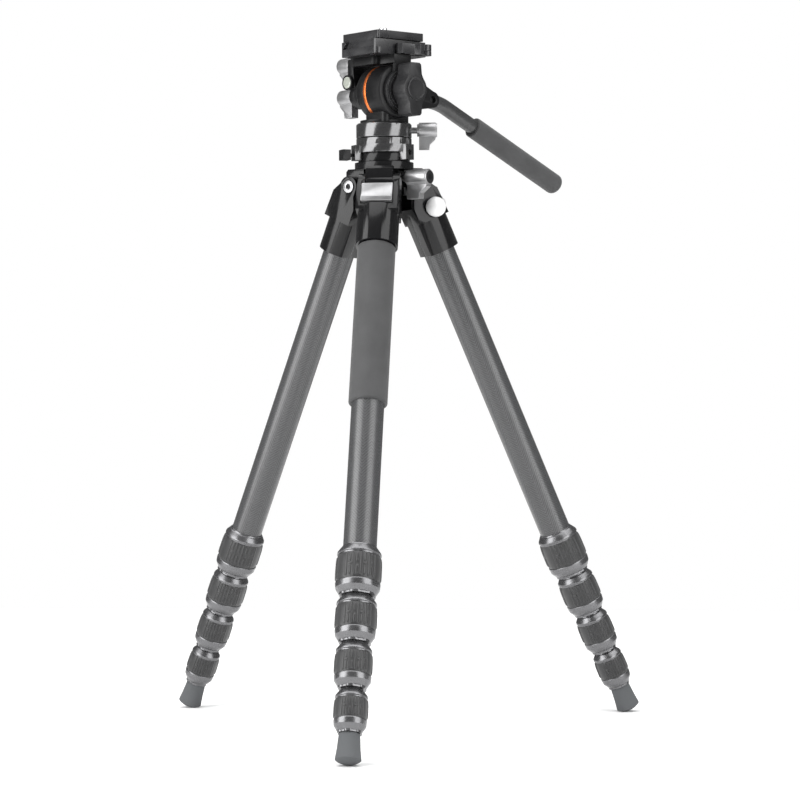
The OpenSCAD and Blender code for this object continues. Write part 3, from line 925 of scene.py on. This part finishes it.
def area_light(name, place, target, size, power):
    """A rectangular softbox at a place, facing a target."""
    data = bpy.data.lights.new(name, "AREA")
    data.shape = "RECTANGLE"
    data.size, data.size_y = size
    data.energy = power
    lamp = bpy.data.objects.new(name, data)
    lamp.location = place
    lamp.rotation_euler = (Vector(target) - Vector(place)).to_track_quat("-Z", "Y").to_euler()
    bpy.context.scene.collection.objects.link(lamp)


def studio_world(fill):
    """A white cyclorama behind the object that lights it only a little."""
    world = bpy.data.worlds.new("studio")
    world.use_nodes = True
    tree = world.node_tree
    background = tree.nodes["Background"]
    seen = tree.nodes.new("ShaderNodeLightPath").outputs["Is Camera Ray"]
    strength = math_node(tree, "MAXIMUM", seen, fill)
    background.inputs["Color"].default_value = (1, 1, 1, 1)
    tree.links.new(strength, background.inputs["Strength"])
    return world


class TRIPOD_OT_stage(bpy.types.Operator):
    """Make the pale floor, the soft lights and the camera"""

    bl_idname = "tripod.stage"
    bl_label = "Stage"

    def execute(self, context):
        scene = context.scene
        mesh = bpy.data.meshes.new("floor")
        half = 1.1
        mesh.from_pydata(
            [(-half, -half, 0), (half, -half, 0), (half, half, 0), (-half, half, 0)],
            [],
            [(0, 1, 2, 3)],
        )
        mesh.materials.append(finish("pale_floor"))
        floor = bpy.data.objects.new("floor", mesh)
        scene.collection.objects.link(floor)
        scene.view_settings.view_transform = "Standard"
        scene.world = studio_world(0.16)
        middle = (0, 0.05, 0.4)
        area_light("softbox_left", (-1.06, -0.78, 0.62), middle, (1.05, 1.7), 29)
        area_light("softbox_right", (1.1, -0.68, 0.62), middle, (0.95, 1.7), 19)
        overhead = bpy.data.lights.new("overhead", "SUN")
        overhead.energy = 3.2
        overhead.angle = math.radians(70)
        lamp = bpy.data.objects.new("overhead", overhead)
        lamp.location = (0, 0, 3)
        scene.collection.objects.link(lamp)
        scene.camera = make_camera()
        return {"FINISHED"}


def make_camera():
    """A long lens 2.15 m from the tripod's axis, level with its middle, a little to the right."""
    turn, pitch, roll = math.radians(7.94), math.radians(-0.54), math.radians(-0.49)
    distance, height = 2.15, 0.2908
    axis_y = JOINTS["pan"]["pos_m"][1]
    data = bpy.data.cameras.new("camera")
    data.sensor_width = 36.0
    data.lens = 116.8
    data.shift_x = 0.01725
    data.clip_end = 50.0
    camera = bpy.data.objects.new("camera", data)
    place = Matrix.Translation(
        (distance * math.sin(turn), axis_y - distance * math.cos(turn), height)
    )
    look = Matrix.Rotation(turn, 4, "Z") @ Matrix.Rotation(math.radians(90) + pitch, 4, "X")
    camera.matrix_world = place @ look @ Matrix.Rotation(roll, 4, "Z")
    bpy.context.scene.collection.objects.link(camera)
    return camera


class TRIPOD_PT_panel(bpy.types.Panel):
    """Buttons for every group of pieces"""

    bl_idname = "TRIPOD_PT_panel"
    bl_label = "Tripod"
    bl_space_type = "VIEW_3D"
    bl_region_type = "UI"
    bl_category = "Tripod"

    def draw(self, context):
        settings = context.scene.tripod_settings
        for name in settings.bl_rna.properties.keys():
            if name not in ("rna_type", "name"):
                self.layout.prop(settings, name)
        for operator in OPERATORS:
            self.layout.operator(operator.bl_idname)


OPERATORS = (
    TRIPOD_OT_stage,
    TRIPOD_OT_tubes,
    TRIPOD_OT_locks,
    TRIPOD_OT_feet,
    TRIPOD_OT_shoulders,
    TRIPOD_OT_base,
    TRIPOD_OT_head,
    TRIPOD_OT_knobs,
    TRIPOD_OT_plate,
    TRIPOD_OT_pan_bar,
)
CLASSES = (TripodSettings, *OPERATORS, TRIPOD_PT_panel)


def register():
    """Registers the classes and the settings."""
    for cls in CLASSES:
        bpy.utils.register_class(cls)
    bpy.types.Scene.tripod_settings = PointerProperty(type=TripodSettings)


def unregister():
    """Removes the classes and the settings."""
    del bpy.types.Scene.tripod_settings
    for cls in reversed(CLASSES):
        bpy.utils.unregister_class(cls)


def main():
    """Builds everything."""
    register()
    bpy.ops.tripod.stage()
    bpy.ops.tripod.tubes()
    bpy.ops.tripod.locks()
    bpy.ops.tripod.feet()
    bpy.ops.tripod.shoulders()
    bpy.ops.tripod.base()
    bpy.ops.tripod.head()
    bpy.ops.tripod.knobs()
    bpy.ops.tripod.plate()
    bpy.ops.tripod.pan_bar()


if __name__ == "__main__":
    main()
